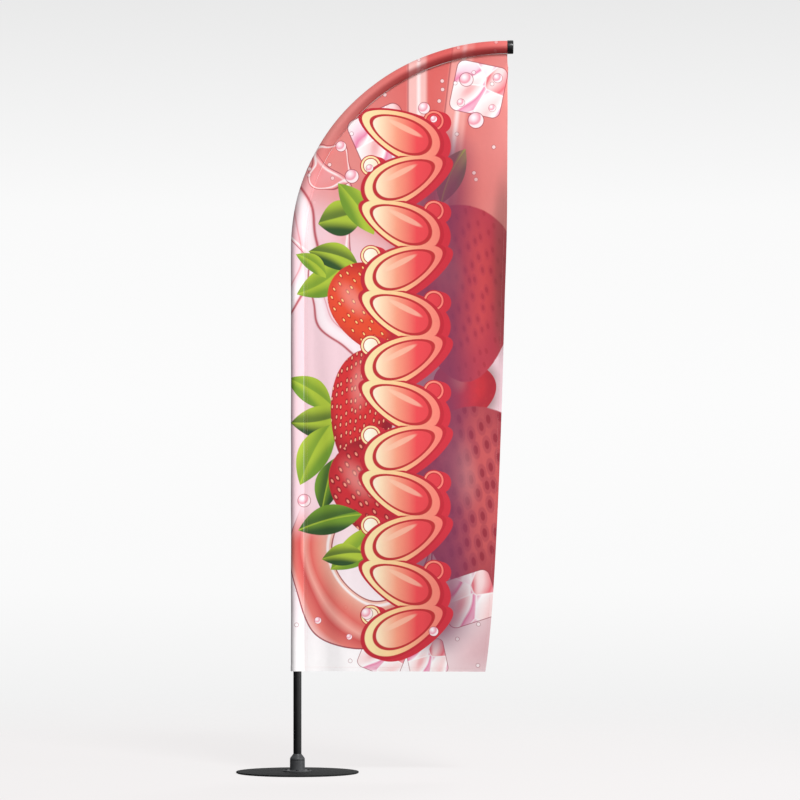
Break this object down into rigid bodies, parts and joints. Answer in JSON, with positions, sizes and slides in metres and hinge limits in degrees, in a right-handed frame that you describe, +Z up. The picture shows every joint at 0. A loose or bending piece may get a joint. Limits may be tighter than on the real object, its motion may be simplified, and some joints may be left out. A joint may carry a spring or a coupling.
{
  "type": "feather flag with pole",
  "caption": "Feather flag: printed cloth on a sleeved pole that bends over at the top, turning on a bearing spindle in a flat round steel foot.",
  "frame": {"origin": "on the pole's axis, in the flat underside of the foot's rubber pad, where the flag stands on the floor", "axes": "+Z up along the straight part of the pole; +X the way the pole bends over and the cloth flies; the printed front faces -Y"},
  "size_m": [1.0176, 0.45, 2.689],
  "materials": {
    "pad_rubber": "matt black rubber sheet",
    "foot_powder_coat": "fine-textured dark grey-black powder coat on steel",
    "screw_black": "black oxide socket screws",
    "bearing_steel": "ground bearing steel",
    "cage_nylon": "moulded nylon",
    "zinc_steel": "zinc-plated steel",
    "spindle_steel": "turned steel",
    "ring_rubber": "black rubber",
    "pole_black": "black anodised tube, satin",
    "pole_fibreglass": "black pultruded fibreglass",
    "tip_plastic": "black moulded plastic, slightly glossy",
    "sleeve_cloth": "printed knitted polyester",
    "flag_cloth": "printed knitted polyester with a fruit and ice pattern"
  },
  "bodies": {
    "base": {"anti_slip_pad": "pad_rubber", "base_plate": "foot_powder_coat", "hub_housing": "foot_powder_coat", "outer_spacer": "zinc_steel", "hub_retaining_ring": "zinc_steel", "lower_bearing_outer_ring": "bearing_steel", "upper_bearing_outer_ring": "bearing_steel", "hub_screw_1": "screw_black", "hub_screw_2": "screw_black", "hub_screw_3": "screw_black", "hub_screw_4": "screw_black"},
    "lower_cage": {"lower_bearing_ball_1": "bearing_steel", "lower_bearing_ball_2": "bearing_steel", "lower_bearing_ball_3": "bearing_steel", "lower_bearing_ball_4": "bearing_steel", "lower_bearing_ball_5": "bearing_steel", "lower_bearing_ball_6": "bearing_steel", "lower_bearing_ball_7": "bearing_steel", "lower_bearing_ball_8": "bearing_steel", "lower_bearing_ball_9": "bearing_steel", "lower_bearing_cage": "cage_nylon"},
    "upper_cage": {"upper_bearing_ball_1": "bearing_steel", "upper_bearing_ball_2": "bearing_steel", "upper_bearing_ball_3": "bearing_steel", "upper_bearing_ball_4": "bearing_steel", "upper_bearing_ball_5": "bearing_steel", "upper_bearing_ball_6": "bearing_steel", "upper_bearing_ball_7": "bearing_steel", "upper_bearing_ball_8": "bearing_steel", "upper_bearing_ball_9": "bearing_steel", "upper_bearing_cage": "cage_nylon"},
    "spindle": {"spindle": "spindle_steel", "spindle_shroud": "foot_powder_coat", "spindle_washer": "zinc_steel", "spindle_retaining_ring": "zinc_steel", "inner_spacer": "zinc_steel", "lower_bearing_inner_ring": "bearing_steel", "upper_bearing_inner_ring": "bearing_steel", "pin_rubber_ring_1": "ring_rubber", "pin_rubber_ring_2": "ring_rubber"},
    "lower_pole": {"pole_lower": "pole_black", "ferrule_lower": "zinc_steel"},
    "middle_pole": {"pole_middle": "pole_black", "ferrule_upper": "zinc_steel"},
    "flag_and_upper_pole": {"pole_upper": "pole_fibreglass", "tip_plug": "tip_plastic", "pole_sleeve": "sleeve_cloth", "flag_panel": "flag_cloth"},
    "tip_cap": {"end_cap": "tip_plastic"}
  },
  "joints": [
    {"name": "flag_spin", "type": "hinge", "parent": "base", "child": "spindle", "pos_m": [0, 0, 0.03], "axis": [0, 0, 1], "continuous": true},
    {"name": "lower_cage_roll", "type": "hinge", "parent": "base", "child": "lower_cage", "pos_m": [0, 0, 0.0203], "axis": [0, 0, 1], "continuous": true},
    {"name": "upper_cage_roll", "type": "hinge", "parent": "base", "child": "upper_cage", "pos_m": [0, 0, 0.0379], "axis": [0, 0, 1], "continuous": true},
    {"name": "pole_lift", "type": "slide", "parent": "spindle", "child": "lower_pole", "axis": [0, 0, 1], "range_m": [0, 0.22]},
    {"name": "middle_pole_pull", "type": "slide", "parent": "lower_pole", "child": "middle_pole", "axis": [0, 0, 1], "range_m": [0, 0.1]},
    {"name": "upper_pole_pull", "type": "slide", "parent": "middle_pole", "child": "flag_and_upper_pole", "axis": [0, 0, 1], "range_m": [0, 0.1]},
    {"name": "cap_pull", "type": "slide", "parent": "flag_and_upper_pole", "child": "tip_cap", "axis": [1, 0, 0], "range_m": [0, 0.03]}
  ],
  "couplings": [
    {"joint": "lower_cage_roll", "follows": "flag_spin", "ratio": 0.3976},
    {"joint": "upper_cage_roll", "follows": "flag_spin", "ratio": 0.3976}
  ]
}
